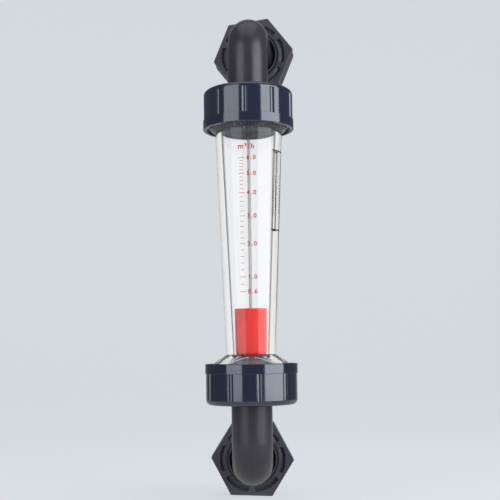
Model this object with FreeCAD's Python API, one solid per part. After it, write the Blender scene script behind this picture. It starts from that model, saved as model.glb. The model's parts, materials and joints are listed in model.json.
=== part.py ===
import FreeCAD, Part
import math
import os

# Panel-mounted plastic tube flow meter (rotameter) with a DN40 flow path. Sizes are in millimetres.
# The origin is the centre of the inlet leg's open end face. +Y points out of that leg, towards the
# back of the panel, +Z points up along the metering tube, and the scale faces -Y.

# Elbow pipes
pipe_bore_radius = 20.0
pipe_wall = 5.0
bend_radius = 30.0
leg_to_nut = 75.9             # leg axis to the outer face of its union nut
outlet_yaw = 4.6              # how far the upper elbow is turned towards +X, in degrees
mouth_chamfer = 3.0

# Union: collar cemented on the riser, nut, seal and threaded tube flange
flange_radius = 48.0
thread_clearance = 0.3        # radial gap between a nut's bore and the flange or collar in it
collar_inset = 1.0            # collar radius below the flange radius
collar_thickness = 11.0
collar_lip = 4.0              # thickness left above the riser's end
cement_gap = 0.1
lid_clearance = 0.5
nut_height = 49.7
nut_lid = 10.0
nut_wall = 7.5
band_height = 11.9
band_step = 0.9
nut_fillet = 6.0
rim_chamfer = 0.8
rim_recess_depth = 3.0
rim_recess_wall = 4.2
groove_count = 10
groove_width = 7.0
groove_depth = 1.9
lower_groove_turn = 9.5
upper_groove_turn = -4.3
seal_radius = 42.5
seal_width = 3.6
seal_height = 3.0
seal_rounding = 0.8
seal_side_clearance = 0.3

# Metering tube
rim_spacing = 289.7           # between the facing rims of the two union nuts
tube_foot_radius = 30.5
tube_head_radius = 41.6
tube_wall_foot = 8.4
tube_wall_head = 7.3
foot_flare = 10.6             # how far the lower flare stands above the lower nut's rim
head_flare = 4.0
flare_drop = 0.7              # how far a flare's wide end lies inside its nut
throat_clearance = 0.4
throat_length = 7.0
throat_lead = 2.0
flange_bore_radius = 34.0
flange_bore_cone = 12.0

# Guide rod, its brackets, stops and nuts
rod_radius = 2.0
rod_clearance = 0.05
bracket_ring_radius = 38.8
bracket_ring_width = 6.8
bracket_ring_thickness = 4.0
bracket_seat_clearance = 0.2
hub_radius = 9.0
lower_hub_height = 12.0
upper_hub_height = 23.6
hub_nose = 3.0
spoke_count = 3
spoke_width = 3.5
spoke_height = 9.0
rod_nut_flats = 7.0
rod_nut_height = 3.2
rod_tail = 1.5
stop_radius = 4.0
upper_stop_length = 17.1

# Float
float_radius = 20.0
float_foot_radius = 19.2
float_length = 56.5
float_edge = 4.0
float_foot_rounding = 4.0
float_rest_gap = 0.3
float_above_rim = 10.2        # foot of the resting float above the lower nut's rim
sleeve_wall = 1.5
sleeve_fit = 0.08
sleeve_flange_radius = 6.0
sleeve_flange_height = 1.5
float_wall = 4.6
float_core_wall = 1.8
weight_clearance = 0.2
weight_length = 36.0
float_cap_thickness = 4.0

# Threaded legs, panel nuts and gaskets
leg_thread_radius = 29.8
leg_thread_inset = 4.0        # the thread starts this far inside the front panel nut
leg_thread_cone = 3.0
leg_end_chamfer = 1.5
nut_setback = 95.0            # tube axis to the front face of the front panel nut
panel_nut_corner_radius = 54.2
panel_nut_thickness = 15.0
panel_nut_fit = 0.08
panel_nut_bore_chamfer = 0.8
panel_nut_collar_radius = 31.7
panel_nut_collar_height = 1.2
panel_nut_groove_radius = 33.8    # outer edge of the groove round the collar
panel_nut_groove_depth = 2.5
panel_nut_lip_rounding = 0.5
panel_nut_edge_radius = 1.0
pocket_count = 6
pocket_inner_radius = 35.6
pocket_outer_radius = 42.8
pocket_half_angle = 24.0
pocket_inner_depth = 1.8
pocket_outer_depth = 4.5
pocket_inner_draft = 0.6          # how far the walls lean in from mouth to floor
pocket_outer_draft = 1.9
pocket_corner_radius = 2.2
gasket_outer_radius = 45.0
gasket_thickness = 3.0
gasket_clearance = 0.3
panel_thickness = 6.0
leg_tail = 21.0               # thread left free behind the rear panel nut
lower_panel_nut_turn = -2.3   # rise of the nut's +X corner, in degrees
upper_panel_nut_turn = 7.7

# Derived sizes
pipe_outer_radius = pipe_bore_radius + pipe_wall
grip_length = panel_nut_thickness + gasket_thickness + panel_thickness + panel_nut_thickness
leg_reach = nut_setback + grip_length + leg_tail
nut_bore_radius = flange_radius + thread_clearance
nut_radius = nut_bore_radius + nut_wall
band_radius = nut_radius + band_step
collar_radius = flange_radius - collar_inset
lower_rim_z = leg_to_nut + nut_height
collar_bottom_z = leg_to_nut + nut_lid
tube_bottom_z = collar_bottom_z + collar_thickness
riser_top_z = tube_bottom_z - collar_lip
upper_rim_z = lower_rim_z + rim_spacing
stack_top_z = upper_rim_z + nut_height
outlet_z = stack_top_z + leg_to_nut
tube_top_z = upper_rim_z + lower_rim_z - tube_bottom_z
foot_z = lower_rim_z + foot_flare
head_z = upper_rim_z - head_flare
tube_bore_foot = tube_foot_radius - tube_wall_foot
tube_bore_head = tube_head_radius - tube_wall_head
float_rest_z = lower_rim_z + float_above_rim
float_top_z = float_rest_z + float_length
upper_stop_z = tube_top_z - upper_hub_height - upper_stop_length
float_travel = upper_stop_z - float_rest_gap - float_top_z
throat_radius = float_radius + throat_clearance
sleeve_inner_radius = rod_radius + sleeve_fit
sleeve_outer_radius = sleeve_inner_radius + sleeve_wall
ring_inner_radius = bracket_ring_radius - bracket_ring_width
recess_radius = bracket_ring_radius + bracket_seat_clearance

x_axis = FreeCAD.Vector(1, 0, 0)
y_axis = FreeCAD.Vector(0, 1, 0)
z_axis = FreeCAD.Vector(0, 0, 1)
origin = FreeCAD.Vector(0, 0, 0)
tube_axis = FreeCAD.Vector(0, -leg_reach, 0)


def revolved(points, sweep=360):
    """Turn a closed outline of (radius, height) points about the Z axis."""
    corners = [FreeCAD.Vector(radius, 0, height) for radius, height in points]
    outline = Part.makePolygon(corners + corners[:1])
    return Part.Face(outline).revolve(origin, z_axis, sweep)


def ring(outer_radius, inner_radius, bottom, top):
    """A plain washer or tube about the Z axis."""
    outside = Part.makeCylinder(outer_radius, top - bottom, FreeCAD.Vector(0, 0, bottom))
    inside = Part.makeCylinder(inner_radius, top - bottom, FreeCAD.Vector(0, 0, bottom))
    return outside.cut(inside)


def circle_edges(shape, radius, height):
    """The full circles of one radius that lie at one height about the Z axis."""
    found = []
    for edge in shape.Edges:
        curve = edge.Curve
        if not isinstance(curve, Part.Circle):
            continue
        if abs(curve.Radius - radius) < 1e-4 and abs(curve.Center.z - height) < 1e-4:
            found.append(edge)
    return found


def turned(shape, angle, centre=origin, axis=z_axis):
    copy = shape.copy()
    copy.rotate(centre, axis, angle)
    return copy


def moved(shape, offset):
    copy = shape.copy()
    copy.translate(offset)
    return copy


def flipped(shape):
    """Mirror a piece of the lower union into its place in the upper union."""
    middle = FreeCAD.Vector(0, 0, (lower_rim_z + upper_rim_z) / 2)
    return shape.mirror(middle, z_axis)


def pipe_run(radius, top):
    """A solid rod along the pipe's centreline: riser, quarter bend and leg, about the tube axis."""
    riser_height = top - bend_radius
    riser = Part.makeCylinder(radius, riser_height, FreeCAD.Vector(0, 0, bend_radius))
    section = Part.Face(Part.Wire(Part.makeCircle(radius, FreeCAD.Vector(0, 0, bend_radius), z_axis)))
    bend = section.revolve(FreeCAD.Vector(0, bend_radius, bend_radius), x_axis, 90)
    leg_length = leg_reach - bend_radius
    leg = Part.makeCylinder(radius, leg_length, FreeCAD.Vector(0, bend_radius, 0), y_axis)
    return riser.fuse([bend, leg])


def along_leg(shape):
    """Lay a piece made about +Z along the leg, with its zero height at the tube axis."""
    return turned(shape, -90, origin, x_axis)


def thread_blank():
    """The thicker threaded stretch of the leg, made about +Z."""
    start = nut_setback + leg_thread_inset
    return revolved([
        (0, start),
        (pipe_outer_radius, start),
        (leg_thread_radius, start + leg_thread_cone),
        (leg_thread_radius, leg_reach - leg_end_chamfer),
        (leg_thread_radius - leg_end_chamfer, leg_reach),
        (0, leg_reach),
    ])


def union_collar():
    """The collar that the union nut pulls against the tube: pipe socket, lip and seal groove."""
    socket_radius = pipe_outer_radius + cement_gap
    collar = revolved([
        (socket_radius, collar_bottom_z),
        (collar_radius, collar_bottom_z),
        (collar_radius, tube_bottom_z),
        (pipe_bore_radius + mouth_chamfer, tube_bottom_z),
        (pipe_bore_radius, tube_bottom_z - mouth_chamfer),
        (pipe_bore_radius, riser_top_z),
        (socket_radius, riser_top_z),
    ])
    groove_bottom = tube_bottom_z - seal_height
    half_width = seal_width / 2 + seal_side_clearance
    groove = ring(seal_radius + half_width, seal_radius - half_width, groove_bottom, tube_bottom_z)
    return collar.cut(groove)


def elbow():
    solid = pipe_run(pipe_outer_radius, riser_top_z).fuse(along_leg(thread_blank()))
    return solid.cut(pipe_run(pipe_bore_radius, riser_top_z)).removeSplitter()


def union_nut(groove_turn):
    """A ribbed union nut with its lid at the elbow side and its rim at the tube side."""
    hole_radius = pipe_outer_radius + lid_clearance
    recess_radius_at_rim = band_radius - rim_recess_wall
    body = revolved([
        (hole_radius, leg_to_nut),
        (nut_radius, leg_to_nut),
        (nut_radius, lower_rim_z - band_height),
        (band_radius, lower_rim_z - band_height),
        (band_radius, lower_rim_z - rim_chamfer),
        (band_radius - rim_chamfer, lower_rim_z),
        (recess_radius_at_rim, lower_rim_z),
        (recess_radius_at_rim, lower_rim_z - rim_recess_depth),
        (nut_bore_radius, lower_rim_z - rim_recess_depth),
        (nut_bore_radius, collar_bottom_z),
        (hole_radius, collar_bottom_z),
    ])
    body = body.makeFillet(nut_fillet, circle_edges(body, nut_radius, leg_to_nut))
    return body.cut(nut_grooves(groove_turn))


def nut_grooves(groove_turn):
    """Round-bottomed grip grooves, as cutters. Turn 0 puts one at the front, on -Y."""
    cutter_radius = ((groove_width / 2) ** 2 + groove_depth ** 2) / (2 * groove_depth)
    centre_radius = nut_radius - groove_depth + cutter_radius
    bottom = leg_to_nut + nut_fillet
    height = nut_height - nut_fillet - band_height
    cutters = []
    for index in range(groove_count):
        cutter = Part.makeCylinder(cutter_radius, height, FreeCAD.Vector(0, -centre_radius, bottom))
        cutters.append(turned(cutter, groove_turn + index * 360 / groove_count))
    return cutters


def metering_tube():
    """The tapered clear tube with a flared and threaded flange at each end."""
    outside = revolved([
        (0, tube_bottom_z),
        (flange_radius, tube_bottom_z),
        (flange_radius, lower_rim_z - flare_drop),
        (tube_foot_radius, foot_z),
        (tube_head_radius, head_z),
        (flange_radius, upper_rim_z + flare_drop),
        (flange_radius, tube_top_z),
        (0, tube_top_z),
    ])
    throat_top = foot_z - throat_lead
    throat_bottom = throat_top - throat_length
    inside = revolved([
        (0, tube_bottom_z),
        (recess_radius, tube_bottom_z),
        (recess_radius, tube_bottom_z + bracket_ring_thickness),
        (flange_bore_radius, tube_bottom_z + bracket_ring_thickness),
        (flange_bore_radius, throat_bottom - flange_bore_cone),
        (throat_radius, throat_bottom),
        (throat_radius, throat_top),
        (tube_bore_foot, foot_z),
        (tube_bore_head, head_z),
        (tube_bore_head, tube_top_z - bracket_ring_thickness),
        (recess_radius, tube_top_z - bracket_ring_thickness),
        (recess_radius, tube_top_z),
        (0, tube_top_z),
    ])
    return outside.cut(inside)


def tube_seal():
    bottom = tube_bottom_z - seal_height
    seal = ring(seal_radius + seal_width / 2, seal_radius - seal_width / 2, bottom, tube_bottom_z)
    return seal.makeFillet(seal_rounding, [edge for edge in seal.Edges if is_circle(edge)])


def is_circle(edge):
    return isinstance(edge.Curve, Part.Circle)


def rod_bracket(hub_height):
    """A spoked holder for the rod: rim ring, spokes and a hub that reaches into the tube."""
    base = tube_bottom_z
    rim = ring(bracket_ring_radius, ring_inner_radius, base, base + bracket_ring_thickness)
    hub = revolved([
        (0, base),
        (hub_radius, base),
        (hub_radius, base + hub_height - hub_nose),
        (hub_radius - hub_nose, base + hub_height),
        (0, base + hub_height),
    ])
    spokes = []
    for index in range(spoke_count):
        spokes.append(turned(bracket_spoke(), index * 360 / spoke_count))
    hole = Part.makeCylinder(rod_radius + rod_clearance, hub_height, FreeCAD.Vector(0, 0, base))
    return rim.fuse([hub] + spokes).cut(hole).removeSplitter()


def bracket_spoke():
    """One spoke, tall at the hub and as low as the rim where it meets it."""
    reach = (ring_inner_radius + bracket_ring_radius) / 2
    corners = [
        FreeCAD.Vector(0, -spoke_width / 2, tube_bottom_z),
        FreeCAD.Vector(reach, -spoke_width / 2, tube_bottom_z),
        FreeCAD.Vector(reach, -spoke_width / 2, tube_bottom_z + bracket_ring_thickness),
        FreeCAD.Vector(ring_inner_radius, -spoke_width / 2, tube_bottom_z + bracket_ring_thickness),
        FreeCAD.Vector(0, -spoke_width / 2, tube_bottom_z + spoke_height),
    ]
    side = Part.Face(Part.makePolygon(corners + corners[:1]))
    return side.extrude(FreeCAD.Vector(0, spoke_width, 0))


def guide_rod():
    bottom = tube_bottom_z - rod_nut_height - rod_tail
    top = tube_top_z + rod_nut_height + rod_tail
    return Part.makeCylinder(rod_radius, top - bottom, FreeCAD.Vector(0, 0, bottom))


def rod_nut():
    """A small hexagon nut on the outer side of a bracket's hub."""
    bottom = tube_bottom_z - rod_nut_height
    hexagon = hexagon_prism(rod_nut_flats / math.sqrt(3), rod_nut_height)
    hole = Part.makeCylinder(rod_radius + rod_clearance, rod_nut_height)
    return moved(hexagon.cut(hole), FreeCAD.Vector(0, 0, bottom))


def hexagon_prism(corner_radius, height):
    """A six-sided prism about +Z with its first corner on +X."""
    corners = []
    for index in range(6):
        angle = math.radians(60 * index)
        corners.append(FreeCAD.Vector(corner_radius * math.cos(angle), corner_radius * math.sin(angle), 0))
    return Part.Face(Part.makePolygon(corners + corners[:1])).extrude(FreeCAD.Vector(0, 0, height))


def lower_float_stop():
    top = float_rest_z - float_rest_gap
    return ring(stop_radius, rod_radius + rod_clearance, tube_bottom_z + lower_hub_height, top)


def upper_float_stop():
    top = tube_top_z - upper_hub_height
    return ring(stop_radius, rod_radius + rod_clearance, upper_stop_z, top)


def float_body():
    """The coloured float: a tapered shell, read at its widest top edge, open at the foot."""
    shell = revolved([
        (0, float_rest_z),
        (float_foot_radius, float_rest_z),
        (float_radius, float_top_z - float_edge),
        (float_radius, float_top_z),
        (0, float_top_z),
    ])
    foot_edge = circle_edges(shell, float_foot_radius, float_rest_z)
    shell = shell.makeFillet(float_foot_rounding, foot_edge)
    core_radius = sleeve_outer_radius + sleeve_fit + float_core_wall
    chamber = ring(weight_radius(), core_radius, float_rest_z, float_top_z - float_wall)
    hole = Part.makeCylinder(sleeve_outer_radius + sleeve_fit, float_length, FreeCAD.Vector(0, 0, float_rest_z))
    flange_hole_radius = sleeve_flange_radius + weight_clearance
    flange_seat = Part.makeCylinder(flange_hole_radius, float_cap_thickness, FreeCAD.Vector(0, 0, float_rest_z))
    return shell.cut([chamber, hole, flange_seat])


def weight_radius():
    """Radius of the float's inner chamber, a wall inside the foot of the float."""
    return float_foot_radius - float_wall


def float_weight():
    bottom = float_rest_z + float_cap_thickness
    core_radius = sleeve_outer_radius + sleeve_fit + float_core_wall
    outer = weight_radius() - weight_clearance
    return ring(outer, core_radius + weight_clearance, bottom, bottom + weight_length)


def float_cap():
    """The plug in the float's foot, round the sleeve's flange."""
    top = float_rest_z + float_cap_thickness
    inner = sleeve_flange_radius + weight_clearance
    return ring(weight_radius() - rod_clearance, inner, float_rest_z, top)


def float_sleeve():
    """The guide bush that slides on the rod. The float turns on it and rests on its flange."""
    tube = ring(sleeve_outer_radius, sleeve_inner_radius, float_rest_z, float_top_z)
    flange_top = float_rest_z + float_cap_thickness - sleeve_fit
    flange = ring(sleeve_flange_radius, sleeve_inner_radius, flange_top - sleeve_flange_height, flange_top)
    return tube.fuse(flange).removeSplitter()


def panel_nut(turn):
    """A hexagon nut with arc pockets. Its pocketed face is at zero height and looks down."""
    hexagon = hexagon_prism(panel_nut_corner_radius, panel_nut_thickness)
    outer_edges = [edge for edge in hexagon.Edges if not is_upright(edge)]
    hexagon = hexagon.makeFillet(panel_nut_edge_radius, outer_edges)
    groove = Part.makeCylinder(panel_nut_groove_radius, panel_nut_groove_depth)
    nut = hexagon.cut(groove).fuse(panel_nut_collar()).cut([panel_nut_bore()] + nut_pockets())
    lips = circle_edges(nut, panel_nut_groove_radius, 0)
    lips += circle_edges(nut, panel_nut_collar_radius, -panel_nut_collar_height)
    return turned(nut.makeFillet(panel_nut_lip_rounding, lips), -turn)


def panel_nut_collar():
    """The raised ring round the nut's bore, from the groove's floor up."""
    base = FreeCAD.Vector(0, 0, -panel_nut_collar_height)
    return Part.makeCylinder(panel_nut_collar_radius, panel_nut_collar_height + panel_nut_groove_depth, base)


def panel_nut_bore():
    bore_radius = leg_thread_radius + panel_nut_fit
    return revolved([
        (0, -panel_nut_collar_height),
        (bore_radius + panel_nut_bore_chamfer, -panel_nut_collar_height),
        (bore_radius, panel_nut_bore_chamfer - panel_nut_collar_height),
        (bore_radius, panel_nut_thickness),
        (0, panel_nut_thickness),
    ])


def nut_pockets():
    """Arc pockets, one behind each corner of the hexagon, with floors that deepen outwards."""
    section = [
        (pocket_inner_radius, 0),
        (pocket_outer_radius, 0),
        (pocket_outer_radius - pocket_outer_draft, pocket_outer_depth),
        (pocket_inner_radius + pocket_inner_draft, pocket_inner_depth),
    ]
    pocket = turned(revolved(section, 2 * pocket_half_angle), -pocket_half_angle)
    corner_edges = [edge for edge in pocket.Edges if is_steep(edge)]
    pocket = pocket.makeFillet(pocket_corner_radius, corner_edges)
    return [turned(pocket, index * 360 / pocket_count) for index in range(pocket_count)]


def is_upright(edge):
    """True for a straight edge along Z."""
    first, last = edge.Vertexes[0].Point, edge.Vertexes[-1].Point
    level_change = abs(first.z - last.z)
    return level_change > 1e-6 and math.hypot(first.x - last.x, first.y - last.y) < 1e-6


def is_steep(edge):
    """True for an edge that rises more than it runs."""
    first, last = edge.Vertexes[0].Point, edge.Vertexes[-1].Point
    return abs(first.z - last.z) > math.hypot(first.x - last.x, first.y - last.y)


def front_panel_nut(turn):
    nut = panel_nut(turn)
    return moved(along_leg(nut), FreeCAD.Vector(0, nut_setback, 0))


def rear_panel_nut(turn):
    """The front nut turned round, clamping the panel from behind."""
    nut = turned(panel_nut(turn), 180, origin, x_axis)
    return moved(along_leg(nut), FreeCAD.Vector(0, nut_setback + grip_length, 0))


def panel_gasket():
    gasket = ring(gasket_outer_radius, leg_thread_radius + gasket_clearance, 0, gasket_thickness)
    return moved(along_leg(gasket), FreeCAD.Vector(0, nut_setback + panel_nut_thickness, 0))


def at_inlet(shape):
    """Place a piece made about the tube axis and the lower leg's axis."""
    return moved(shape, tube_axis)


def at_outlet(shape):
    """Turn a lower elbow piece into the upper elbow's place, with its own yaw."""
    return moved(turned(flipped(shape), -outlet_yaw), tube_axis)


def build():
    """Every sub-part by node name, in its place."""
    lower_bracket = rod_bracket(lower_hub_height)
    upper_bracket = flipped(rod_bracket(upper_hub_height))
    return {
        "lower_elbow": at_inlet(elbow()),
        "lower_union_collar": at_inlet(union_collar()),
        "lower_tube_seal": at_inlet(tube_seal()),
        "lower_union_nut": at_inlet(union_nut(lower_groove_turn)),
        "lower_front_panel_nut": at_inlet(front_panel_nut(lower_panel_nut_turn)),
        "lower_panel_gasket": at_inlet(panel_gasket()),
        "lower_rear_panel_nut": at_inlet(rear_panel_nut(-lower_panel_nut_turn)),
        "metering_tube": at_inlet(metering_tube()),
        "guide_rod": at_inlet(guide_rod()),
        "lower_rod_bracket": at_inlet(lower_bracket),
        "upper_rod_bracket": at_inlet(upper_bracket),
        "lower_rod_nut": at_inlet(rod_nut()),
        "upper_rod_nut": at_inlet(flipped(rod_nut())),
        "lower_float_stop": at_inlet(lower_float_stop()),
        "upper_float_stop": at_inlet(upper_float_stop()),
        "float_body": at_inlet(float_body()),
        "float_weight": at_inlet(float_weight()),
        "float_cap": at_inlet(float_cap()),
        "float_sleeve": at_inlet(float_sleeve()),
        "upper_elbow": at_outlet(elbow()),
        "upper_union_collar": at_outlet(union_collar()),
        "upper_tube_seal": at_outlet(tube_seal()),
        "upper_union_nut": moved(flipped(union_nut(upper_groove_turn)), tube_axis),
        "upper_front_panel_nut": at_outlet(front_panel_nut(-upper_panel_nut_turn)),
        "upper_panel_gasket": at_outlet(panel_gasket()),
        "upper_rear_panel_nut": at_outlet(rear_panel_nut(upper_panel_nut_turn)),
    }


os.makedirs("parts", exist_ok=True)
for node, shape in build().items():
    shape.exportStep("parts/" + node + ".step")
    print(node, "solids", len(shape.Solids), "valid", shape.isValid(), "volume", round(shape.Volume))
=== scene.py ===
import json
import math

import bmesh
import bpy
from mathutils import Matrix, Vector


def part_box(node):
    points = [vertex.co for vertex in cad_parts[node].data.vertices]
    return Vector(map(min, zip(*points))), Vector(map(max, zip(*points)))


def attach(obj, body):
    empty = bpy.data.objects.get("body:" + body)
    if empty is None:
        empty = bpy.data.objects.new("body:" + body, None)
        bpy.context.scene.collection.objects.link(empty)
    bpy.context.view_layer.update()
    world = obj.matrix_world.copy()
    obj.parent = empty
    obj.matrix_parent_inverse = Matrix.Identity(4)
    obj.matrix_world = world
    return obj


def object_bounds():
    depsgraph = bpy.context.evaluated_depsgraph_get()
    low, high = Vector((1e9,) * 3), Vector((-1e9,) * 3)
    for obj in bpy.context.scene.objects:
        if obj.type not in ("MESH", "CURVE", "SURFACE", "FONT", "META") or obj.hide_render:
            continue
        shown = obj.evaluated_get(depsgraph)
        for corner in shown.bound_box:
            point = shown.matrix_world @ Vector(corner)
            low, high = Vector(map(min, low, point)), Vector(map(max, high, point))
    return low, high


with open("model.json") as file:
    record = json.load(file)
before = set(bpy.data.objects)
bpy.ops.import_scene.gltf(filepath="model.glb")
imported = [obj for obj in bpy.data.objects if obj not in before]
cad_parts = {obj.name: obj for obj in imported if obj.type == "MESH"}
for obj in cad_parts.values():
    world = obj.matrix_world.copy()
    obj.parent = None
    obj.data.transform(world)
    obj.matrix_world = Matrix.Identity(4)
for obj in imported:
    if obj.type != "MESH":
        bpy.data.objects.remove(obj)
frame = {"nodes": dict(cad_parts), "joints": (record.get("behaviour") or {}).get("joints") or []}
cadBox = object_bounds()
nodes = frame["nodes"]
scene = bpy.context.scene
print("frame loaded:", len(nodes), "nodes")

# places read from the frame
rodLow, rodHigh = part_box("guide_rod")
tubeAxis = Vector(((rodLow.x + rodHigh.x) / 2, (rodLow.y + rodHigh.y) / 2, 0))
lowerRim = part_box("lower_union_nut")[1].z
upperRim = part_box("upper_union_nut")[0].z

# the cone of the measuring tube, between its two flared ends
tubeShape = {
    "footRadius": 0.0305,
    "headRadius": 0.0416,
    "footAboveRim": 0.0106,
    "headBelowRim": 0.004,
    "wall": 0.0078,
}
footZ = lowerRim + tubeShape["footAboveRim"]
headZ = upperRim - tubeShape["headBelowRim"]
coneSlope = (tubeShape["headRadius"] - tubeShape["footRadius"]) / (headZ - footZ)


def coneRadius(z):
    return tubeShape["footRadius"] + coneSlope * (z - footZ)


# the camera
view = {
    "distance": 1.2383,       # from the tube's axis
    "height": 0.1426,         # above the inlet's axis
    "side": 0.0001,
    "pitch": 5.65,
    "roll": -0.75,
    "lens": 72.33,
}


def makeCamera():
    cam = bpy.data.cameras.new("camera")
    cam.lens = view["lens"]
    cam.sensor_width = 36
    cam.clip_start = 0.01
    obj = bpy.data.objects.new("camera", cam)
    scene.collection.objects.link(obj)
    place = Matrix.Translation((view["side"], tubeAxis.y - view["distance"], view["height"]))
    tilt = Matrix.Rotation(math.radians(90 + view["pitch"]), 4, "X")
    roll = Matrix.Rotation(math.radians(view["roll"]), 4, "Z")
    obj.matrix_world = place @ tilt @ roll
    scene.camera = obj


# small helpers for every node tree
def addNode(tree, kind, **settings):
    node = tree.nodes.new(kind)
    for key, value in settings.items():
        setattr(node, key, value)
    return node


def feed(tree, socket, value):
    if isinstance(value, bpy.types.NodeSocket):
        tree.links.new(value, socket)
    else:
        socket.default_value = value


def calc(tree, operation, *values):
    node = addNode(tree, "ShaderNodeMath", operation=operation)
    for socket, value in zip(node.inputs, values):
        feed(tree, socket, value)
    return node.outputs[0]


def vector(tree, x, y, z):
    node = addNode(tree, "ShaderNodeCombineXYZ")
    for socket, value in zip(node.inputs, (x, y, z)):
        feed(tree, socket, value)
    return node.outputs[0]


def blendNumbers(tree, factor, low, high):
    node = addNode(tree, "ShaderNodeMix", data_type="FLOAT")
    feed(tree, node.inputs[0], factor)
    feed(tree, node.inputs[2], low)
    feed(tree, node.inputs[3], high)
    return node.outputs[0]


# shader helpers
def newMaterial(name):
    mat = bpy.data.materials.new(name)
    mat.use_nodes = True
    tree = mat.node_tree
    tree.nodes.clear()
    out = addNode(tree, "ShaderNodeOutputMaterial")
    shader = addNode(tree, "ShaderNodeBsdfPrincipled")
    tree.links.new(shader.outputs[0], out.inputs[0])
    return mat, tree, shader


def outputOf(tree):
    return next(node for node in tree.nodes if node.type == "OUTPUT_MATERIAL")


def objectNoise(tree, scale, detail=2.0, stretch=(1, 1, 1)):
    coords = addNode(tree, "ShaderNodeTexCoord")
    mapping = addNode(tree, "ShaderNodeMapping")
    mapping.inputs["Scale"].default_value = stretch
    noise = addNode(tree, "ShaderNodeTexNoise")
    noise.inputs["Scale"].default_value = scale
    noise.inputs["Detail"].default_value = detail
    tree.links.new(coords.outputs["Object"], mapping.inputs["Vector"])
    tree.links.new(mapping.outputs[0], noise.inputs["Vector"])
    return noise.outputs["Fac"]


def remap(tree, value, low, high, start=0.3, end=0.7):
    # the defaults are the range that a noise mostly stays in
    node = addNode(tree, "ShaderNodeMapRange")
    node.inputs["From Min"].default_value = start
    node.inputs["From Max"].default_value = end
    node.inputs["To Min"].default_value = low
    node.inputs["To Max"].default_value = high
    tree.links.new(value, node.inputs["Value"])
    return node.outputs[0]


def blendColours(tree, factor, first, second):
    node = addNode(tree, "ShaderNodeMix", data_type="RGBA")
    for socket, colour in zip(node.inputs[6:8], (first, second)):
        feed(tree, socket, colour if isinstance(colour, bpy.types.NodeSocket) else (*colour, 1))
    feed(tree, node.inputs[0], factor)
    return node.outputs[2]


def addBump(tree, shader, height, strength, distance, normal=None):
    bump = addNode(tree, "ShaderNodeBump")
    bump.inputs["Strength"].default_value = strength
    bump.inputs["Distance"].default_value = distance
    tree.links.new(height, bump.inputs["Height"])
    if normal is not None:
        tree.links.new(normal, bump.inputs["Normal"])
    tree.links.new(bump.outputs[0], shader.inputs["Normal"])


def softEdge(tree, radius, samples=6):
    bevel = addNode(tree, "ShaderNodeBevel", samples=samples)
    bevel.inputs["Radius"].default_value = radius
    return bevel.outputs[0]


def mixShaders(tree, factor, first, second):
    mix = addNode(tree, "ShaderNodeMixShader")
    feed(tree, mix.inputs[0], factor)
    tree.links.new(first, mix.inputs[1])
    tree.links.new(second, mix.inputs[2])
    return mix.outputs[0]


# finishes
plasticGrain = {
    "cloudScale": 18, "cloudDetail": 3, "cloudShade": 0.14,
    "rubbedScale": 55, "rubbedDetail": 4, "rubbedLow": 0.85, "rubbedHigh": 1.2,
    "fineScale": 900, "fineDepth": 0.0002, "softEdge": 0.0005,
}


def mouldedPlastic(name, colour, roughness, shine, refraction, grain, gleam=(1, 1, 1)):
    p = plasticGrain
    mat, tree, shader = newMaterial(name)
    dark = [c * (1 - p["cloudShade"]) for c in colour]
    light = [c * (1 + p["cloudShade"]) for c in colour]
    cloud = objectNoise(tree, p["cloudScale"], p["cloudDetail"])
    tree.links.new(blendColours(tree, cloud, dark, light), shader.inputs["Base Color"])
    rubbed = objectNoise(tree, p["rubbedScale"], p["rubbedDetail"])
    rubbed = remap(tree, rubbed, roughness * p["rubbedLow"], roughness * p["rubbedHigh"])
    tree.links.new(rubbed, shader.inputs["Roughness"])
    shader.inputs["Specular IOR Level"].default_value = shine
    shader.inputs["Specular Tint"].default_value = (*gleam, 1)
    shader.inputs["IOR"].default_value = refraction
    fine = objectNoise(tree, p["fineScale"])
    addBump(tree, shader, fine, grain, p["fineDepth"], softEdge(tree, p["softEdge"]))
    return mat


clearTube = {
    "wallTint": (0.985, 0.99, 1.0),
    "streakTint": (0.955, 0.965, 0.98),
    "streakScale": 420, "streakStretch": 0.02, "streakStart": 0.45, "streakEnd": 0.75,
    "streakBump": 0.02, "streakDepth": 0.0001,
    "paintedBoreShade": (0.030, 0.028, 0.038),     # painted shade: the dark colour painted on the bore where it is seen edge on
    "paintedBoreShadeStart": 0.56, "paintedBoreShadeEnd": 0.74,
    "flareHaze": 0.05, "hazeColour": (0.86, 0.85, 0.93), "hazeFade": 0.006,
    "refraction": 1.49,
    "shadow": (0.93, 0.94, 0.95),
}


def dullColour(tree, colour):
    shader = addNode(tree, "ShaderNodeBsdfDiffuse")
    shader.inputs["Color"].default_value = (*colour, 1)
    return shader.outputs[0]


def onBoreWall(tree, x, y, z):
    # 1 on the tube's inner wall, 0 on its outer one
    aside = calc(tree, "POWER", calc(tree, "SUBTRACT", x, tubeAxis.x), 2.0)
    depth = calc(tree, "POWER", calc(tree, "SUBTRACT", y, tubeAxis.y), 2.0)
    radius = calc(tree, "SQRT", calc(tree, "ADD", aside, depth))
    rise = calc(tree, "SUBTRACT", z, footZ)
    outside = calc(tree, "MULTIPLY_ADD", rise, coneSlope, tubeShape["footRadius"])
    midWall = calc(tree, "SUBTRACT", outside, tubeShape["wall"] / 2)
    return calc(tree, "LESS_THAN", radius, midWall)


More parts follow.
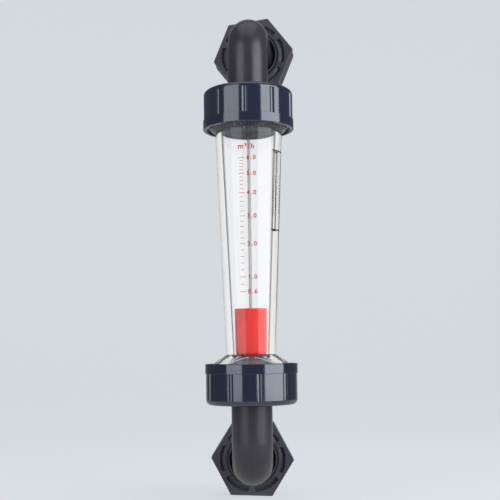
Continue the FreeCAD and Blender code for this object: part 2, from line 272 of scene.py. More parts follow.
def clearPlastic(name):
    p = clearTube
    mat, tree, shader = newMaterial(name)
    streaks = objectNoise(tree, p["streakScale"], stretch=(1, 1, p["streakStretch"]))
    patches = remap(tree, streaks, 0, 1, p["streakStart"], p["streakEnd"])
    tint = blendColours(tree, patches, p["wallTint"], p["streakTint"])
    tree.links.new(tint, shader.inputs["Base Color"])
    shader.inputs["Roughness"].default_value = 0.0
    shader.inputs["Transmission Weight"].default_value = 1.0
    shader.inputs["IOR"].default_value = p["refraction"]
    addBump(tree, shader, streaks, p["streakBump"], p["streakDepth"])
    parts = addNode(tree, "ShaderNodeSeparateXYZ")
    tree.links.new(addNode(tree, "ShaderNodeTexCoord").outputs["Object"], parts.inputs[0])
    x, y, z = parts.outputs
    # the flared ends are a little hazy, the cone between them is clear
    below = remap(tree, z, 1, 0, footZ - p["hazeFade"], footZ)
    above = remap(tree, z, 0, 1, headZ - p["hazeFade"], headZ)
    haze = calc(tree, "MULTIPLY", calc(tree, "ADD", below, above), p["flareHaze"])
    clear = mixShaders(tree, haze, shader.outputs[0], dullColour(tree, p["hazeColour"]))
    # painted shade: a dark dull colour is mixed onto the inner wall where it is seen edge on, standing in
    # for the dark line that refraction makes there
    facing = addNode(tree, "ShaderNodeLayerWeight").outputs["Facing"]
    boreShadeMask = remap(tree, facing, 0, 1, p["paintedBoreShadeStart"], p["paintedBoreShadeEnd"])
    boreShadeMask = calc(tree, "MULTIPLY", boreShadeMask, onBoreWall(tree, x, y, z))
    clear = mixShaders(tree, boreShadeMask, clear, dullColour(tree, p["paintedBoreShade"]))
    # light goes straight through to cast a pale shadow
    through = addNode(tree, "ShaderNodeBsdfTransparent")
    through.inputs["Color"].default_value = (*p["shadow"], 1)
    shadowRay = addNode(tree, "ShaderNodeLightPath").outputs["Is Shadow Ray"]
    mixed = mixShaders(tree, shadowRay, clear, through.outputs[0])
    tree.links.new(mixed, outputOf(tree).inputs[0])
    return mat


steelLines = {"scale": 1400, "stretch": 0.02, "shade": 0.8, "dull": 1.6, "bump": 0.1, "depth": 0.00005}


def drawnSteel(name, colour, roughness):
    p = steelLines
    mat, tree, shader = newMaterial(name)
    lines = objectNoise(tree, p["scale"], stretch=(1, 1, p["stretch"]))
    dark = [c * p["shade"] for c in colour]
    tree.links.new(blendColours(tree, lines, dark, colour), shader.inputs["Base Color"])
    shader.inputs["Metallic"].default_value = 1.0
    tree.links.new(remap(tree, lines, roughness, roughness * p["dull"]), shader.inputs["Roughness"])
    addBump(tree, shader, lines, p["bump"], p["depth"])
    return mat


rubberSkin = {
    "dark": (0.012, 0.012, 0.013), "light": (0.03, 0.03, 0.031), "cloudScale": 40, "cloudDetail": 4,
    "smooth": 0.6, "dull": 0.8, "grainScale": 1500, "grain": 0.25, "grainDepth": 0.0002,
}


def rubber(name):
    p = rubberSkin
    mat, tree, shader = newMaterial(name)
    cloud = objectNoise(tree, p["cloudScale"], p["cloudDetail"])
    tree.links.new(blendColours(tree, cloud, p["dark"], p["light"]), shader.inputs["Base Color"])
    tree.links.new(remap(tree, cloud, p["smooth"], p["dull"]), shader.inputs["Roughness"])
    addBump(tree, shader, objectNoise(tree, p["grainScale"]), p["grain"], p["grainDepth"])
    return mat


inkPatches = {"scale": 1200, "thin": 1.3, "fade": 0.03, "smooth": 0.35, "dull": 0.55}


def printInk(name, colour):
    p = inkPatches
    mat, tree, shader = newMaterial(name)
    patchy = objectNoise(tree, p["scale"])
    pale = [min(1, c * p["thin"] + p["fade"]) for c in colour]
    tree.links.new(blendColours(tree, patchy, colour, pale), shader.inputs["Base Color"])
    tree.links.new(remap(tree, patchy, p["smooth"], p["dull"]), shader.inputs["Roughness"])
    return mat


finishes = {
    "elbow": mouldedPlastic(
        "charcoalElbow", colour=(0.031, 0.031, 0.041), roughness=0.31,
        shine=0.62, refraction=1.55, grain=0.05, gleam=(0.97, 0.96, 1.0)),
    "nut": mouldedPlastic(
        "navyNut", colour=(0.010, 0.017, 0.042), roughness=0.10,
        shine=1.0, refraction=1.65, grain=0.02, gleam=(0.86, 0.93, 1.0)),
    "panelNut": mouldedPlastic(
        "slatePanelNut", colour=(0.066, 0.065, 0.085), roughness=0.4,
        shine=0.5, refraction=1.5, grain=0.08, gleam=(0.95, 0.95, 1.0)),
    "float": mouldedPlastic(
        "redFloat", colour=(0.98, 0.016, 0.004), roughness=0.2,
        shine=0.22, refraction=1.5, grain=0.02),
    "sleeve": mouldedPlastic(
        "whiteSleeve", colour=(0.82, 0.82, 0.80), roughness=0.4,
        shine=0.5, refraction=1.5, grain=0.02),
    "bracket": mouldedPlastic(
        "darkBracket", colour=(0.030, 0.031, 0.034), roughness=0.3,
        shine=0.5, refraction=1.5, grain=0.04),
    "clear": clearPlastic("clearTube"),
    "rod": drawnSteel("drawnRod", colour=(0.52, 0.51, 0.50), roughness=0.22),
    "weight": drawnSteel("turnedWeight", colour=(0.5, 0.5, 0.5), roughness=0.35),
    "rubber": rubber("blackRubber"),
    "redInk": printInk("redInk", colour=(0.46, 0.025, 0.035)),
    "blackInk": printInk("blackInk", colour=(0.015, 0.013, 0.018)),
}

nodeFinish = {
    "lower_elbow": "elbow", "upper_elbow": "elbow",
    "lower_union_collar": "elbow", "upper_union_collar": "elbow",
    "lower_union_nut": "nut", "upper_union_nut": "nut",
    "lower_front_panel_nut": "panelNut", "lower_rear_panel_nut": "panelNut",
    "upper_front_panel_nut": "panelNut", "upper_rear_panel_nut": "panelNut",
    "metering_tube": "clear",
    "float_body": "float", "float_cap": "float",
    "float_sleeve": "sleeve", "float_weight": "weight",
    "guide_rod": "rod", "lower_rod_nut": "rod", "upper_rod_nut": "rod",
    "lower_rod_bracket": "bracket", "upper_rod_bracket": "bracket",
    "lower_float_stop": "bracket", "upper_float_stop": "bracket",
    "lower_tube_seal": "rubber", "upper_tube_seal": "rubber",
    "lower_panel_gasket": "rubber", "upper_panel_gasket": "rubber",
}


def dressFrame():
    for name, obj in nodes.items():
        for slot in obj.material_slots:
            slot.material = finishes[nodeFinish[name]]
    print("frame dressed")


# geometry node helpers
def newGeometryTree(name, inputs):
    tree = bpy.data.node_groups.new(name, "GeometryNodeTree")
    for label, kind in inputs.items():
        tree.interface.new_socket(label, in_out="INPUT", socket_type="NodeSocket" + kind)
    tree.interface.new_socket("Geometry", in_out="OUTPUT", socket_type="NodeSocketGeometry")
    return tree, addNode(tree, "NodeGroupInput").outputs, addNode(tree, "NodeGroupOutput")


def joined(tree, *geometries):
    join = addNode(tree, "GeometryNodeJoinGeometry")
    for geometry in geometries:
        tree.links.new(geometry, join.inputs[0])
    return join.outputs[0]


def moved(tree, geometry, position, selection=True):
    node = addNode(tree, "GeometryNodeSetPosition")
    tree.links.new(geometry, node.inputs["Geometry"])
    feed(tree, node.inputs["Selection"], selection)
    tree.links.new(position, node.inputs["Position"])
    return node.outputs[0]


def copiesOn(tree, points, shape, scale=(1, 1, 1)):
    copies = addNode(tree, "GeometryNodeInstanceOnPoints")
    tree.links.new(points, copies.inputs["Points"])
    tree.links.new(shape, copies.inputs["Instance"])
    feed(tree, copies.inputs["Scale"], scale)
    flat = addNode(tree, "GeometryNodeRealizeInstances")
    tree.links.new(copies.outputs[0], flat.inputs[0])
    return flat.outputs[0]


def sweep(tree, line, section, size=1.0):
    swept = addNode(tree, "GeometryNodeCurveToMesh")
    swept.inputs["Fill Caps"].default_value = True
    tree.links.new(line, swept.inputs["Curve"])
    tree.links.new(section, swept.inputs["Profile Curve"])
    feed(tree, swept.inputs["Scale"], size)
    return swept.outputs[0]


def finishTree(tree, geometry, material, out):
    realized = addNode(tree, "GeometryNodeRealizeInstances")
    painted = addNode(tree, "GeometryNodeSetMaterial")
    tree.links.new(geometry, realized.inputs[0])
    tree.links.new(realized.outputs[0], painted.inputs["Geometry"])
    tree.links.new(material, painted.inputs["Material"])
    tree.links.new(painted.outputs[0], out.inputs["Geometry"])


def bakeTree(name, tree, values):
    # runs a tree once and keeps its result as a plain mesh object
    host = bpy.data.objects.new(name + "_host", bpy.data.meshes.new(name + "_host"))
    scene.collection.objects.link(host)
    modifier = host.modifiers.new("shape", "NODES")
    modifier.node_group = tree
    for item in tree.interface.items_tree:
        if item.in_out == "INPUT":
            modifier[item.identifier] = values[item.name]
    host.update_tag()
    bpy.context.view_layer.update()
    mesh = bpy.data.meshes.new_from_object(host.evaluated_get(bpy.context.evaluated_depsgraph_get()))
    host.modifiers.clear()
    bpy.data.objects.remove(host)
    mesh.name = name
    return placeMesh(name, mesh)


def placeMesh(name, mesh):
    obj = bpy.data.objects.new(name, mesh)
    scene.collection.objects.link(obj)
    return obj


def smoothMesh(obj, sharpAngle):
    obj.data.shade_smooth()
    obj.data.set_sharp_from_angle(angle=math.radians(sharpAngle))


# the printed scale
scalePrint = {
    "firstFlow": 0.6, "flowStep": 0.2, "tickCount": 28,
    "figures": (0.6, 1, 2, 3, 4, 5, 6),
    "zeroHeight": 0.18305,    # where the curve of height against flow starts
    "rise": (0.04999, -0.00364, 0.0001017),
    "longLeft": -0.0124, "longRight": -0.0051,
    "shortLeft": -0.0116, "shortRight": -0.0072,
    "lineWidth": 0.0006, "lift": 0.00008, "inkDepth": 0.00004,     # the ink stands clear of the wall
    "lineVertices": 6,     # along a tick, enough to follow the round wall
    "curveSteps": 3,       # on each curve of a letter
    "wholeWithin": 0.01, "weld": 0.000004,
    "figureSize": 0.0074, "figureSpacing": 1.35, "figureLeft": -0.0030, "strokeGain": 0.0002,
    "unitHeight": 0.3877, "unitLeft": -0.0134, "unitSize": 0.0095, "unitSpacing": 1.18,
}

coneInputs = {
    "Axis Y": "Float", "Foot Radius": "Float", "Foot Height": "Float", "Cone Slope": "Float",
    "Lift": "Float",
}


def coneValues():
    return {
        "Axis Y": tubeAxis.y,
        "Foot Radius": tubeShape["footRadius"],
        "Foot Height": footZ,
        "Cone Slope": coneSlope,
        "Lift": scalePrint["lift"],
    }


def wrapNodes(tree, take, geometry, azimuth):
    # lays flat ink round the cone: x runs round it, y stands off it, z runs up it
    parts = addNode(tree, "ShaderNodeSeparateXYZ")
    tree.links.new(addNode(tree, "GeometryNodeInputPosition").outputs[0], parts.inputs[0])
    x, y, z = parts.outputs
    rise = calc(tree, "SUBTRACT", z, take["Foot Height"])
    radius = calc(tree, "MULTIPLY_ADD", rise, take["Cone Slope"], take["Foot Radius"])
    radius = calc(tree, "ADD", radius, take["Lift"])
    angle = calc(tree, "ADD", calc(tree, "DIVIDE", x, radius), azimuth)
    reach = calc(tree, "ADD", radius, y)
    across = calc(tree, "MULTIPLY", reach, calc(tree, "SINE", angle))
    forward = calc(tree, "MULTIPLY", reach, calc(tree, "COSINE", angle))
    wrapped = vector(tree, across, calc(tree, "SUBTRACT", take["Axis Y"], forward), z)
    outward = addNode(tree, "GeometryNodeFlipFaces")     # the wrap mirrors the ink
    tree.links.new(moved(tree, geometry, wrapped), outward.inputs["Mesh"])
    return outward.outputs[0]


def wrapOnTube(point, azimuth=0.0):
    # the same wrap for lettering and single lines
    radius = coneRadius(point.z) + scalePrint["lift"]
    angle = azimuth + point.x / radius
    reach = radius + point.y
    return Vector((tubeAxis.x + reach * math.sin(angle), tubeAxis.y - reach * math.cos(angle), point.z))


def flowHeight(flow):
    a, b, c = scalePrint["rise"]
    return scalePrint["zeroHeight"] + a * flow + b * flow ** 2 + c * flow ** 3


def tickTree():
    inputs = {"First Flow": "Float", "Flow Step": "Float", "Count": "Int"}
    inputs |= {"Zero Height": "Float", "Rise": "Float", "Bend": "Float", "Curl": "Float"}
    inputs |= {"Long Left": "Float", "Long Right": "Float", "Short Left": "Float", "Short Right": "Float"}
    inputs |= {"Line Width": "Float", "Line Vertices": "Int", "Ink Depth": "Float", "Ink": "Material"}
    tree, take, out = newGeometryTree("scaleTicks", inputs | coneInputs)
    points = addNode(tree, "GeometryNodePoints")
    tree.links.new(take["Count"], points.inputs["Count"])
    index = addNode(tree, "GeometryNodeInputIndex").outputs[0]
    flow = calc(tree, "MULTIPLY_ADD", index, take["Flow Step"], take["First Flow"])
    slope = calc(tree, "MULTIPLY_ADD", flow, take["Curl"], take["Bend"])
    slope = calc(tree, "MULTIPLY_ADD", flow, slope, take["Rise"])
    height = calc(tree, "MULTIPLY_ADD", flow, slope, take["Zero Height"])
    # whole flows and the first tick get a long line
    offWhole = calc(tree, "ABSOLUTE", calc(tree, "SUBTRACT", flow, calc(tree, "ROUND", flow)))
    isWhole = calc(tree, "LESS_THAN", offWhole, scalePrint["wholeWithin"])
    isLong = calc(tree, "MAXIMUM", isWhole, calc(tree, "LESS_THAN", index, 0.5))
    left = blendNumbers(tree, isLong, take["Short Left"], take["Long Left"])
    right = blendNumbers(tree, isLong, take["Short Right"], take["Long Right"])
    middle = calc(tree, "MULTIPLY", calc(tree, "ADD", left, right), 0.5)
    placed = moved(tree, points.outputs[0], vector(tree, middle, 0.0, height))
    bar = addNode(tree, "GeometryNodeMeshCube")
    tree.links.new(take["Line Vertices"], bar.inputs["Vertices X"])
    tree.links.new(vector(tree, 1.0, take["Ink Depth"], take["Line Width"]), bar.inputs["Size"])
    length = calc(tree, "SUBTRACT", right, left)
    bars = copiesOn(tree, placed, bar.outputs[0], vector(tree, length, 1.0, 1.0))
    finishTree(tree, wrapNodes(tree, take, bars, 0.0), take["Ink"], out)
    return tree


def meshObject(name, verts, faces, finish):
    mesh = bpy.data.meshes.new(name)
    mesh.from_pydata(verts, [], faces)
    mesh.materials.append(finishes[finish])
    mesh.update()
    return placeMesh(name, mesh)


def printedWords(name, words, size, spacing, left, height):
    curve = bpy.data.curves.new(name, "FONT")
    curve.body = words
    curve.size = size
    curve.space_character = spacing
    curve.offset = scalePrint["strokeGain"]
    curve.align_y = "CENTER"
    curve.extrude = scalePrint["inkDepth"] / 2
    curve.resolution_u = scalePrint["curveSteps"]
    text = bpy.data.objects.new(name + "_text", curve)
    scene.collection.objects.link(text)
    bpy.context.view_layer.update()
    mesh = bpy.data.meshes.new_from_object(text.evaluated_get(bpy.context.evaluated_depsgraph_get()))
    bpy.data.objects.remove(text)
    mesh.name = name
    letters = bmesh.new()
    letters.from_mesh(mesh)
    bmesh.ops.remove_doubles(letters, verts=letters.verts, dist=scalePrint["weld"])
    # letters are made lying down: their y becomes height on the tube, their z the ink's depth
    for vert in letters.verts:
        vert.co = wrapOnTube(Vector((left + vert.co.x, vert.co.z, height + vert.co.y)))
    letters.to_mesh(mesh)
    letters.free()
    mesh.materials.clear()
    mesh.materials.append(finishes["redInk"])
    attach(placeMesh(name, mesh), "metering_tube")


def makeScale():
    p = scalePrint
    rise, bend, curl = p["rise"]
    ticks = bakeTree("scale_ticks", tickTree(), coneValues() | {
        "First Flow": p["firstFlow"], "Flow Step": p["flowStep"], "Count": p["tickCount"],
        "Zero Height": p["zeroHeight"], "Rise": rise, "Bend": bend, "Curl": curl,
        "Long Left": p["longLeft"], "Long Right": p["longRight"],
        "Short Left": p["shortLeft"], "Short Right": p["shortRight"],
        "Line Width": p["lineWidth"], "Line Vertices": p["lineVertices"],
        "Ink Depth": p["inkDepth"], "Ink": finishes["redInk"],
    })
    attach(ticks, "metering_tube")
    for flow in p["figures"]:
        name = "figure_%d" % round(flow * 10)
        height = flowHeight(flow)
        printedWords(name, "%.1f" % flow, p["figureSize"], p["figureSpacing"], p["figureLeft"], height)
    printedWords("scale_unit", "m³/h", p["unitSize"], p["unitSpacing"], p["unitLeft"], p["unitHeight"])
    print("scale printed:", p["tickCount"], "ticks")


# a plain ruled panel on the tube's side
sidePanel = {
    "leftAzimuth": 47.4, "rightAzimuth": 83.0, "barAzimuth": 57.3, "dashAzimuth": 71.0,
    "low": 0.2877, "high": 0.3853,
    "thinLine": 0.0009, "crossLine": 0.0016, "barWidth": 0.0022, "crossReach": 0.0014,
    "barSteps": 12, "crossSteps": 10,
    "dashCount": 13, "firstDash": 0.309, "dashStep": 0.0038, "dashLength": 0.0016, "dashHeight": 0.0022,
}


def dashTree():
    inputs = {"Count": "Int", "First Height": "Float", "Step": "Float"}
    inputs |= {"Length": "Float", "Height": "Float", "Azimuth": "Float"}
    inputs |= {"Ink Depth": "Float", "Ink": "Material"}
    tree, take, out = newGeometryTree("sideDashes", inputs | coneInputs)
    line = addNode(tree, "GeometryNodeMeshLine")
    tree.links.new(take["Count"], line.inputs["Count"])
    tree.links.new(vector(tree, 0.0, 0.0, take["First Height"]), line.inputs["Start Location"])
    tree.links.new(vector(tree, 0.0, 0.0, take["Step"]), line.inputs["Offset"])
    dash = addNode(tree, "GeometryNodeMeshCube")
    tree.links.new(vector(tree, take["Length"], take["Ink Depth"], take["Height"]), dash.inputs["Size"])
    dashes = copiesOn(tree, line.outputs[0], dash.outputs[0])
    finishTree(tree, wrapNodes(tree, take, dashes, take["Azimuth"]), take["Ink"], out)
    return tree


def inkBar(left, right, low, high, across, up):
    # a thin strip of ink as a closed grid, before it is wrapped on the tube: every corner has an
    # inner point and then an outer one
    half = scalePrint["inkDepth"] / 2
    verts, faces = [], []
    for row in range(up + 1):
        z = low + (high - low) * row / up
        for column in range(across + 1):
            x = left + (right - left) * column / across
            verts += [Vector((x, -half, z)), Vector((x, half, z))]

    def innerPoint(row, column):
        return 2 * (row * (across + 1) + column)

    for row in range(up):
        for column in range(across):
            a, b = innerPoint(row, column), innerPoint(row, column + 1)
            c, d = innerPoint(row + 1, column + 1), innerPoint(row + 1, column)
            faces += [(a, d, c, b), (a + 1, b + 1, c + 1, d + 1)]
        a, d = innerPoint(row, 0), innerPoint(row + 1, 0)
        b, c = innerPoint(row, across), innerPoint(row + 1, across)
        faces += [(a, a + 1, d + 1, d), (b, c, c + 1, b + 1)]
    for column in range(across):
        a, b = innerPoint(0, column), innerPoint(0, column + 1)
        d, c = innerPoint(up, column), innerPoint(up, column + 1)
        faces += [(a, b, b + 1, a + 1), (d, d + 1, c + 1, c)]
    return verts, faces


def joinBars(bars):
    verts, faces = [], []
    for barVerts, barFaces in bars:
        start = len(verts)
        verts += barVerts
        faces += [tuple(start + i for i in face) for face in barFaces]
    return verts, faces


def makeSidePanel():
    p = sidePanel
    left, right, barPlace = (math.radians(p[key]) for key in ("leftAzimuth", "rightAzimuth", "barAzimuth"))
    bars = []
    for azimuth, width in ((left, p["thinLine"]), (right, p["thinLine"]), (barPlace, p["barWidth"])):
        verts, faces = inkBar(-width / 2, width / 2, p["low"], p["high"], 1, p["barSteps"])
        bars.append(([wrapOnTube(v, azimuth) for v in verts], faces))
    for height in (p["low"], p["high"]):
        reach = (right - left) * coneRadius(height) / 2 + p["crossReach"]
        half = p["crossLine"] / 2
        verts, faces = inkBar(-reach, reach, height - half, height + half, p["crossSteps"], 1)
        bars.append(([wrapOnTube(v, (left + right) / 2) for v in verts], faces))
    verts, faces = joinBars(bars)
    lines = meshObject("side_panel_lines", verts, faces, "blackInk")
    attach(lines, "metering_tube")
    dashes = bakeTree("side_panel_dashes", dashTree(), coneValues() | {
        "Count": p["dashCount"], "First Height": p["firstDash"], "Step": p["dashStep"],
        "Length": p["dashLength"], "Height": p["dashHeight"], "Azimuth": math.radians(p["dashAzimuth"]),
        "Ink Depth": scalePrint["inkDepth"], "Ink": finishes["blackInk"],
    })
    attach(dashes, "metering_tube")
    print("side panel ruled")


# the two legs: each one's line starts on the tube's axis and runs towards its threaded end
def legLine(end):
    joint = next(j for j in frame["joints"] if j["name"] == end + "_rear_panel_nut_turn")
    along = Vector(joint["axis"]).normalized()
    return Vector((tubeAxis.x, tubeAxis.y, joint["pos_m"][2])), along


pipeRadius = tubeAxis.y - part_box("lower_elbow")[0].y
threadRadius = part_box("lower_elbow")[1].x - tubeAxis.x
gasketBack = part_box("lower_panel_gasket")[1].y - tubeAxis.y
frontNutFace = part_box("lower_front_panel_nut")[0].y - tubeAxis.y
rearNutFront, rearNutBack = (corner.y - tubeAxis.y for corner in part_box("lower_rear_panel_nut"))
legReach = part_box("lower_elbow")[1].y - tubeAxis.y

legThread = {
    "pitch": 0.00231, "ridge": 0.0005, "crest": 0.0004, "root": 0.0016, "sink": 0.00015,
    "endChamfer": 0.0016, "clear": 0.0003, "stepsPerTurn": 64, "fadeTurns": 0.5, "thinEnd": 0.02,
    "sharpAngle": 35,
}


def threadRidge(tree, take, stretch):
    spiral = addNode(tree, "GeometryNodeCurveSpiral")
    turns = take[stretch + " Turns"]
    tree.links.new(take["Steps"], spiral.inputs["Resolution"])
    tree.links.new(turns, spiral.inputs["Rotations"])
    tree.links.new(take["Radius"], spiral.inputs["Start Radius"])
    tree.links.new(take["Radius"], spiral.inputs["End Radius"])
    tree.links.new(calc(tree, "MULTIPLY", turns, take["Pitch"]), spiral.inputs["Height"])
    upright = addNode(tree, "GeometryNodeSetCurveNormal", mode="Z_UP")
    tree.links.new(spiral.outputs[0], upright.inputs["Curve"])
    along = addNode(tree, "GeometryNodeSplineParameter").outputs["Factor"]
    # the ridge fades out within the first and the last part of a turn
    fromEnd = calc(tree, "MINIMUM", along, calc(tree, "SUBTRACT", 1.0, along))
    fade = calc(tree, "DIVIDE", calc(tree, "MULTIPLY", fromEnd, turns), take["Fade"])
    size = calc(tree, "MAXIMUM", calc(tree, "MINIMUM", fade, 1.0), take["Thin End"])
    tall = calc(tree, "ADD", take["Ridge"], take["Sink"])
    # its section is turned so that the crest points outwards, and sunk a little into the leg
    section = addNode(tree, "GeometryNodeCurvePrimitiveQuadrilateral", mode="TRAPEZOID")
    tree.links.new(take["Root Width"], section.inputs["Bottom Width"])
    tree.links.new(take["Crest Width"], section.inputs["Top Width"])
    tree.links.new(tall, section.inputs["Height"])
    section.inputs["Offset"].default_value = 0.0
    lift = calc(tree, "SUBTRACT", take["Sink"], calc(tree, "MULTIPLY", tall, 0.5))
    raised = addNode(tree, "GeometryNodeTransform")
    tree.links.new(section.outputs[0], raised.inputs["Geometry"])
    raised.inputs["Rotation"].default_value = (0, 0, math.pi / 2)
    tree.links.new(vector(tree, lift, 0.0, 0.0), raised.inputs["Translation"])
    laid = addNode(tree, "GeometryNodeTransform")
    tree.links.new(sweep(tree, upright.outputs[0], raised.outputs[0], size), laid.inputs["Geometry"])
    tree.links.new(take[stretch + " Start"], laid.inputs["Translation"])
    tree.links.new(take["Turn"], laid.inputs["Rotation"])
    return laid.outputs[0]


def threadTree():
    inputs = {"Radius": "Float", "Pitch": "Float", "Steps": "Int", "Ridge": "Float", "Crest Width": "Float"}
    inputs |= {"Root Width": "Float", "Sink": "Float", "Fade": "Float", "Thin End": "Float"}
    inputs |= {"Turn": "Vector", "Front Start": "Vector", "Front Turns": "Float"}
    inputs |= {"Rear Start": "Vector", "Rear Turns": "Float"}
    tree, take, out = newGeometryTree("threadRidge", inputs | {"Plastic": "Material"})
    both = joined(tree, threadRidge(tree, take, "Front"), threadRidge(tree, take, "Rear"))
    finishTree(tree, both, take["Plastic"], out)
    return tree


def makeThreads():
    p = legThread
    tree = threadTree()
    inset = p["clear"] + p["root"] / 2
    frontLow, frontHigh = gasketBack + inset, rearNutFront - inset
    rearLow, rearHigh = rearNutBack + inset, legReach - p["endChamfer"] - inset
    for end in ("lower", "upper"):
        start, along = legLine(end)
        thread = bakeTree(end + "_leg_thread", tree, {
            "Radius": threadRadius, "Pitch": p["pitch"], "Steps": p["stepsPerTurn"],
            "Ridge": p["ridge"], "Crest Width": p["crest"], "Root Width": p["root"],
            "Sink": p["sink"], "Fade": p["fadeTurns"], "Thin End": p["thinEnd"],
            "Turn": (-math.pi / 2, 0, -math.atan2(along.x, along.y)),
            "Front Start": start + along * frontLow, "Front Turns": (frontHigh - frontLow) / p["pitch"],
            "Rear Start": start + along * rearLow, "Rear Turns": (rearHigh - rearLow) / p["pitch"],
            "Plastic": finishes["elbow"],
        })
        smoothMesh(thread, p["sharpAngle"])
        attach(thread, end + "_elbow")
    print("leg threads cut")


# the fine line that the mould's two halves leave on each elbow
mouldSeam = {
    "beadRadius": 0.00022, "beadSides": 8, "bendRadius": 0.030, "bendSteps": 28,
    "into": 0.003, "clear": 0.0004, "sharpAngle": 50,
}


def seamBead(tree, take, side):
    # a straight line whose middle point is pulled to the bend's corner, which is then rounded
    line = addNode(tree, "GeometryNodeCurvePrimitiveLine")
    tree.links.new(take[side + " Top"], line.inputs["Start"])
    tree.links.new(take[side + " End"], line.inputs["End"])
    threePoints = addNode(tree, "GeometryNodeResampleCurve")
    tree.links.new(line.outputs[0], threePoints.inputs["Curve"])
    threePoints.inputs["Count"].default_value = 3
    isMiddle = addNode(tree, "FunctionNodeCompare", data_type="INT", operation="EQUAL")
    tree.links.new(addNode(tree, "GeometryNodeInputIndex").outputs[0], isMiddle.inputs[2])
    isMiddle.inputs[3].default_value = 1
    cornered = moved(tree, threePoints.outputs[0], take[side + " Corner"], isMiddle.outputs[0])
    rounded = addNode(tree, "GeometryNodeFilletCurve", mode="POLY")
    tree.links.new(cornered, rounded.inputs["Curve"])
    tree.links.new(take["Steps"], rounded.inputs["Count"])
    tree.links.new(take[side + " Radius"], rounded.inputs["Radius"])
    bead = addNode(tree, "GeometryNodeCurvePrimitiveCircle")
    tree.links.new(take["Bead Sides"], bead.inputs["Resolution"])
    tree.links.new(take["Bead Radius"], bead.inputs["Radius"])
    return sweep(tree, rounded.outputs[0], bead.outputs[0])


def seamTree():
    inputs = {"Bead Radius": "Float", "Bead Sides": "Int", "Steps": "Int", "Plastic": "Material"}
    for side in ("Outer", "Inner"):
        inputs |= {side + " Top": "Vector", side + " Corner": "Vector", side + " End": "Vector"}
        inputs |= {side + " Radius": "Float"}
    tree, take, out = newGeometryTree("mouldSeam", inputs)
    both = joined(tree, seamBead(tree, take, "Outer"), seamBead(tree, take, "Inner"))
    finishTree(tree, both, take["Plastic"], out)
    return tree


def makeSeams():
    p = mouldSeam
    tree = seamTree()
    legEnd = frontNutFace + p["into"]
    nutEdges = {"lower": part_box("lower_union_nut")[0].z, "upper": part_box("upper_union_nut")[1].z}
    for end, way in (("lower", 1), ("upper", -1)):
        start, along = legLine(end)
        riserEnd = Vector((start.x, start.y, nutEdges[end] - way * p["clear"]))
        values = {"Bead Radius": p["beadRadius"], "Bead Sides": p["beadSides"]}
        values |= {"Steps": p["bendSteps"], "Plastic": finishes["elbow"]}
        for side, reach in (("Outer", -pipeRadius), ("Inner", pipeRadius)):
            up = Vector((0, 0, way * reach))
            values[side + " Top"] = riserEnd + along * reach
            values[side + " Corner"] = start + along * reach + up
            values[side + " End"] = start + along * legEnd + up
            values[side + " Radius"] = p["bendRadius"] - reach
        seam = bakeTree(end + "_elbow_seam", tree, values)
        smoothMesh(seam, p["sharpAngle"])
        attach(seam, end + "_elbow")
    print("mould seams drawn")


# the studio
studio = {
    "wallRadius": 3.0, "bend": 1.0, "wallHeight": 3.4, "bendSteps": 12, "roundSteps": 72,
    "floorColour": (0.21, 0.22, 0.23), "floorRoughness": 0.9, "speckle": 0.03, "speckleScale": 6,
    "glowColour": (0.70, 0.735, 0.765),
    "glow": 0.80, "bounce": 0.45,     # as the camera sees it, and as a dull surface is lit by it
    "mirrored": 0.5, "mirroredEdge": 0.12, "brightReach": 0.75, "dimReach": 1.5,
    "darkFront": -1.6, "brightBack": -0.8, "through": 0.9,
    "lampDistance": 1.25, "lampHeight": 1.5, "lampCentre": 0.75,
    "left": {"azimuth": -43, "width": 0.9, "radiance": 1.5},
    "right": {"azimuth": 58, "width": 1.2, "radiance": 2.6},
    "top": {"height": 2.0, "size": 1.6, "radiance": 0.6},
    "worldSeen": 0.75, "worldThrough": 0.85, "worldLight": 0.14,
}


def rayKinds(tree):
    # camera rays, then what shiny and clear surfaces send on before any dull surface does
    path = addNode(tree, "ShaderNodeLightPath").outputs
    straight = calc(tree, "LESS_THAN", path["Diffuse Depth"], 0.5)
    mirrored = calc(tree, "MULTIPLY", path["Is Glossy Ray"], straight)
    through = calc(tree, "MULTIPLY", path["Is Transmission Ray"], straight)
    return path["Is Camera Ray"], mirrored, through


def mirroredPool(tree):
    # reflections see a bright pool under the part and behind it, and a dim bowl on the other sides
    p = studio
    parts = addNode(tree, "ShaderNodeSeparateXYZ")
    tree.links.new(addNode(tree, "ShaderNodeTexCoord").outputs["Object"], parts.inputs[0])
    aside = calc(tree, "ABSOLUTE", parts.outputs["X"])
    beside = remap(tree, aside, 1, 0, p["brightReach"], p["dimReach"])
    behind = remap(tree, parts.outputs["Y"], 0, 1, p["darkFront"], p["brightBack"])
    return blendNumbers(tree, calc(tree, "MULTIPLY", beside, behind), p["mirroredEdge"], p["mirrored"])


def stageMaterial():
    p = studio
    mat, tree, shader = newMaterial("paleBackdrop")
    speckle = objectNoise(tree, p["speckleScale"])
    pale = [c * (1 + p["speckle"]) for c in p["floorColour"]]
    tree.links.new(blendColours(tree, speckle, p["floorColour"], pale), shader.inputs["Base Color"])
    shader.inputs["Roughness"].default_value = p["floorRoughness"]
    shader.inputs["Emission Color"].default_value = (*p["glowColour"], 1)
    camera, mirrored, through = rayKinds(tree)
    lit = blendNumbers(tree, camera, p["bounce"], p["glow"])
    tree.links.new(lit, shader.inputs["Emission Strength"])
    plain = addNode(tree, "ShaderNodeEmission")
    level = blendNumbers(tree, through, mirroredPool(tree), p["through"])
    tree.links.new(level, plain.inputs["Strength"])
    mixed = mixShaders(tree, calc(tree, "MAXIMUM", mirrored, through), shader.outputs[0], plain.outputs[0])
    tree.links.new(mixed, outputOf(tree).inputs[0])
    return mat


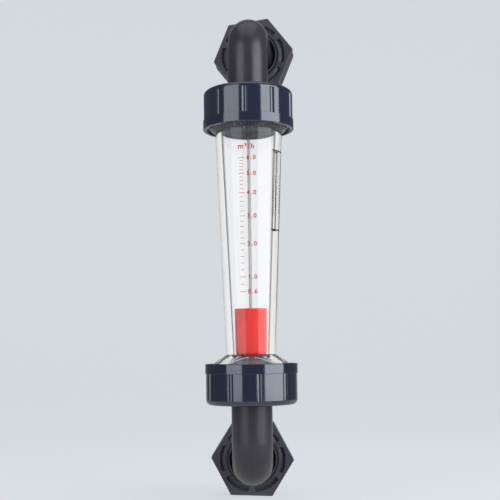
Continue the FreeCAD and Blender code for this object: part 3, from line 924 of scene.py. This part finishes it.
def makeStage():
    # a round floor that bends up into a wall on every side
    p = studio
    finishes["stage"] = stageMaterial()
    floorZ = cadBox[0].z
    profile = []
    for i in range(p["bendSteps"] + 1):
        angle = math.pi / 2 * i / p["bendSteps"]
        reach = p["wallRadius"] + p["bend"] * (math.sin(angle) - 1)
        profile.append((reach, floorZ + p["bend"] * (1 - math.cos(angle))))
    profile.append((p["wallRadius"], floorZ + p["wallHeight"]))
    around = p["roundSteps"]
    verts = []
    for reach, z in profile:
        for i in range(around):
            turn = 2 * math.pi * i / around
            verts.append((reach * math.cos(turn), reach * math.sin(turn), z))
    faces = [tuple(range(around))]
    for ring in range(len(profile) - 1):
        for i in range(around):
            a, b = ring * around + i, ring * around + (i + 1) % around
            faces.append((b, a, a + around, b + around))
    stage = meshObject("studio_bowl", verts, faces, "stage")
    stage.data.shade_smooth()


def makeLamp(name, place, aim, width, height, radiance):
    lamp = bpy.data.lights.new(name, "AREA")
    lamp.shape = "RECTANGLE"
    lamp.size = width
    lamp.size_y = height
    lamp.energy = radiance * math.pi * width * height     # watts
    obj = bpy.data.objects.new(name, lamp)
    scene.collection.objects.link(obj)
    turn = (aim - place).to_track_quat("-Z", "Y").to_matrix().to_4x4()
    obj.matrix_world = Matrix.Translation(place) @ turn
    obj.visible_camera = False
    obj.visible_transmission = False     # so that no lamp's shape shows through the tube


def makeSoftbox(name, side):
    angle = math.radians(side["azimuth"])
    reach = studio["lampDistance"]
    centre = Vector((tubeAxis.x, tubeAxis.y, studio["lampCentre"]))
    place = centre + Vector((reach * math.sin(angle), -reach * math.cos(angle), 0))
    makeLamp(name, place, centre, side["width"], studio["lampHeight"], side["radiance"])


def makeWorld():
    world = bpy.data.worlds.new("studioWorld")
    world.use_nodes = True
    tree = world.node_tree
    camera, _, through = rayKinds(tree)
    level = blendNumbers(tree, camera, studio["worldLight"], studio["worldSeen"])
    level = blendNumbers(tree, through, level, studio["worldThrough"])
    sky = tree.nodes["Background"]
    sky.inputs["Color"].default_value = (1, 1, 1, 1)
    tree.links.new(level, sky.inputs["Strength"])
    scene.world = world


def makeStudio():
    makeStage()
    for name in ("left", "right"):
        makeSoftbox(name + "Softbox", studio[name])
    top = studio["top"]
    above = Vector((tubeAxis.x, tubeAxis.y, top["height"]))
    below = above - Vector((0, 0.001, 1))     # a hair off plumb, so that the lamp's turn is defined
    makeLamp("topSoftbox", above, below, top["size"], top["size"], top["radiance"])
    makeWorld()
    print("studio ready")


makeCamera()
makeStudio()
dressFrame()
makeScale()
makeSidePanel()
makeThreads()
makeSeams()

scene.view_settings.view_transform = "Standard"
